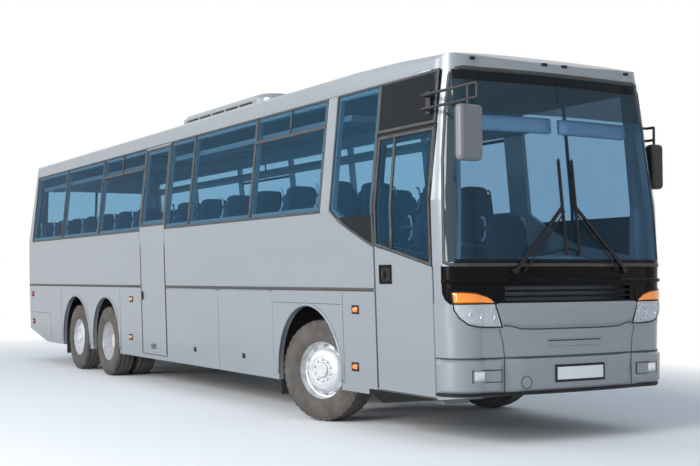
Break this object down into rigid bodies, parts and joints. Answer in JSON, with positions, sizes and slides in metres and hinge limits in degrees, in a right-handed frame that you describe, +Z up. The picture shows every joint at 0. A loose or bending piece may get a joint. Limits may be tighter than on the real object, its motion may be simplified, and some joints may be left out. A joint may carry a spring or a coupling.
{
  "type": "three-axle touring coach",
  "caption": "High-floor touring coach with three axles, steerable front wheels, swing-out doors, luggage flaps, engine door and roof hatches.",
  "frame": {"origin": "on the ground under the middle of the overall length, on the centre line", "axes": "+X forward, +Y to the left, +Z up; the doors are on the -Y side"},
  "size_m": [13.86, 2.74, 3.65],
  "materials": {
    "body_paint": "satin metallic",
    "black_trim": "gloss",
    "glass": "tinted",
    "lens": "clear lens",
    "floor_board": "matt",
    "frame_steel": "matt black",
    "rubber": "matt",
    "seat_cloth": "woven",
    "inner_plastic": "grained",
    "rim_paint": "silver",
    "tyre": "matt"
  },
  "bodies": {
    "coach_body": {"side_wall_right": "body_paint", "side_wall_left": "body_paint", "roof": "body_paint", "roof_coves": "body_paint", "roof_ends": "body_paint", "screen_frame": "body_paint", "front_panel": "body_paint", "front_bumper": "body_paint", "rear_wall": "body_paint", "rear_bumper": "body_paint", "air_conditioner": "body_paint", "cowl_grille": "black_trim", "wipers": "black_trim", "mirrors": "black_trim", "body_glass": "glass", "windscreen": "glass", "front_lamps": "lens", "tail_lamps": "lens", "deck": "floor_board", "cab_floor": "floor_board", "mid_steps": "floor_board", "underframe": "frame_steel", "wheel_housings": "frame_steel", "front_axle": "frame_steel", "drive_axle": "frame_steel", "tag_axle": "frame_steel", "engine_block": "frame_steel", "mud_flaps": "rubber", "seats": "seat_cloth", "dashboard": "inner_plastic", "luggage_racks": "inner_plastic"},
    "steer_right": {"knuckle_right": "frame_steel"},
    "steer_left": {"knuckle_left": "frame_steel"},
    "door_arms_front": {"door_front_arms": "frame_steel"},
    "leaf_front": {"door_front": "body_paint", "door_front_glass": "glass"},
    "door_arms_mid": {"door_mid_arms": "frame_steel"},
    "leaf_mid": {"door_mid": "body_paint", "door_mid_glass": "glass"},
    "engine_lid": {"engine_door": "body_paint"},
    "hatch_front": {"hatch_front": "body_paint"},
    "hatch_rear": {"hatch_rear": "body_paint"},
    "steering": {"steering_wheel": "inner_plastic"},
    "flap_right_front": {"flap_right_front": "body_paint"},
    "flap_right_rear": {"flap_right_rear": "body_paint"},
    "flap_left_front": {"flap_left_front": "body_paint"},
    "flap_left_middle": {"flap_left_middle": "body_paint"},
    "flap_left_rear": {"flap_left_rear": "body_paint"},
    "wheel_front_right": {"rim_front_right": "rim_paint", "tyre_front_right": "tyre"},
    "wheel_front_left": {"rim_front_left": "rim_paint", "tyre_front_left": "tyre"},
    "wheel_drive_right": {"rim_drive_right": "rim_paint", "tyre_drive_right": "tyre"},
    "wheel_drive_left": {"rim_drive_left": "rim_paint", "tyre_drive_left": "tyre"},
    "wheel_tag_right": {"rim_tag_right": "rim_paint", "tyre_tag_right": "tyre"},
    "wheel_tag_left": {"rim_tag_left": "rim_paint", "tyre_tag_left": "tyre"}
  },
  "joints": [
    {"name": "steer_right", "type": "hinge", "parent": "coach_body", "child": "steer_right", "pos_m": [4.02, -0.95, 0.512], "axis": [0, 0, 1], "range_deg": [-63, 21]},
    {"name": "steer_left", "type": "hinge", "parent": "coach_body", "child": "steer_left", "pos_m": [4.02, 0.95, 0.512], "axis": [0, 0, 1], "range_deg": [-63, 21]},
    {"name": "spin_front_right", "type": "hinge", "parent": "steer_right", "child": "wheel_front_right", "pos_m": [4.05763, -1.04803, 0.512], "axis": [-0.3584, 0.9336, 0], "continuous": true},
    {"name": "spin_front_left", "type": "hinge", "parent": "steer_left", "child": "wheel_front_left", "pos_m": [3.98237, 1.04803, 0.512], "axis": [-0.3584, 0.9336, 0], "continuous": true},
    {"name": "spin_drive_right", "type": "hinge", "parent": "coach_body", "child": "wheel_drive_right", "pos_m": [-2.54, -1.055, 0.512], "axis": [0, 1, 0], "continuous": true},
    {"name": "spin_drive_left", "type": "hinge", "parent": "coach_body", "child": "wheel_drive_left", "pos_m": [-2.54, 1.055, 0.512], "axis": [0, 1, 0], "continuous": true},
    {"name": "spin_tag_right", "type": "hinge", "parent": "coach_body", "child": "wheel_tag_right", "pos_m": [-3.99, -1.055, 0.512], "axis": [0, 1, 0], "continuous": true},
    {"name": "spin_tag_left", "type": "hinge", "parent": "coach_body", "child": "wheel_tag_left", "pos_m": [-3.99, 1.055, 0.512], "axis": [0, 1, 0], "continuous": true},
    {"name": "door_front_swing", "type": "hinge", "parent": "coach_body", "child": "door_arms_front", "pos_m": [5.95, -1.11, 1.2], "axis": [0, 0, 1], "range_deg": [0, 140]},
    {"name": "door_front_leaf", "type": "hinge", "parent": "door_arms_front", "child": "leaf_front", "pos_m": [5.45, -1.11, 1.2], "axis": [0, 0, 1], "range_deg": [-140, 0]},
    {"name": "door_mid_swing", "type": "hinge", "parent": "coach_body", "child": "door_arms_mid", "pos_m": [-0.725, -1.11, 1.2], "axis": [0, 0, -1], "range_deg": [0, 140]},
    {"name": "door_mid_leaf", "type": "hinge", "parent": "door_arms_mid", "child": "leaf_mid", "pos_m": [-0.225, -1.11, 1.2], "axis": [0, 0, -1], "range_deg": [-140, 0]},
    {"name": "flap_right_front_lift", "type": "hinge", "parent": "coach_body", "child": "flap_right_front", "pos_m": [2.3625, -1.22434, 1.3057], "axis": [-1, 0, 0], "range_deg": [0, 85]},
    {"name": "flap_right_rear_lift", "type": "hinge", "parent": "coach_body", "child": "flap_right_rear", "pos_m": [0.78, -1.22434, 1.3057], "axis": [-1, 0, 0], "range_deg": [0, 85]},
    {"name": "flap_left_front_lift", "type": "hinge", "parent": "coach_body", "child": "flap_left_front", "pos_m": [2.3625, 1.22434, 1.3057], "axis": [1, 0, 0], "range_deg": [0, 85]},
    {"name": "flap_left_middle_lift", "type": "hinge", "parent": "coach_body", "child": "flap_left_middle", "pos_m": [0.78, 1.22434, 1.3057], "axis": [1, 0, 0], "range_deg": [0, 85]},
    {"name": "flap_left_rear_lift", "type": "hinge", "parent": "coach_body", "child": "flap_left_rear", "pos_m": [-0.91, 1.22434, 1.3057], "axis": [1, 0, 0], "range_deg": [0, 85]},
    {"name": "engine_door_lift", "type": "hinge", "parent": "coach_body", "child": "engine_lid", "pos_m": [-6.8988, 0, 1.8957], "axis": [0, 1, 0], "range_deg": [0, 80]},
    {"name": "hatch_front_lift", "type": "hinge", "parent": "coach_body", "child": "hatch_front", "pos_m": [4.295, 0, 3.5305], "axis": [0, 1, 0], "range_deg": [0, 35]},
    {"name": "hatch_rear_lift", "type": "hinge", "parent": "coach_body", "child": "hatch_rear", "pos_m": [-2.905, 0, 3.5305], "axis": [0, 1, 0], "range_deg": [0, 35]},
    {"name": "steering_turn", "type": "hinge", "parent": "coach_body", "child": "steering", "pos_m": [5.62, 0.62, 1.6], "axis": [-0.5, 0, 0.866], "range_deg": [-819, 273]}
  ],
  "couplings": [
    {"joint": "steer_left", "follows": "steer_right", "ratio": 1},
    {"joint": "door_front_leaf", "follows": "door_front_swing", "ratio": -1},
    {"joint": "door_mid_leaf", "follows": "door_mid_swing", "ratio": -1},
    {"joint": "steering_turn", "follows": "steer_right", "ratio": 13}
  ]
}
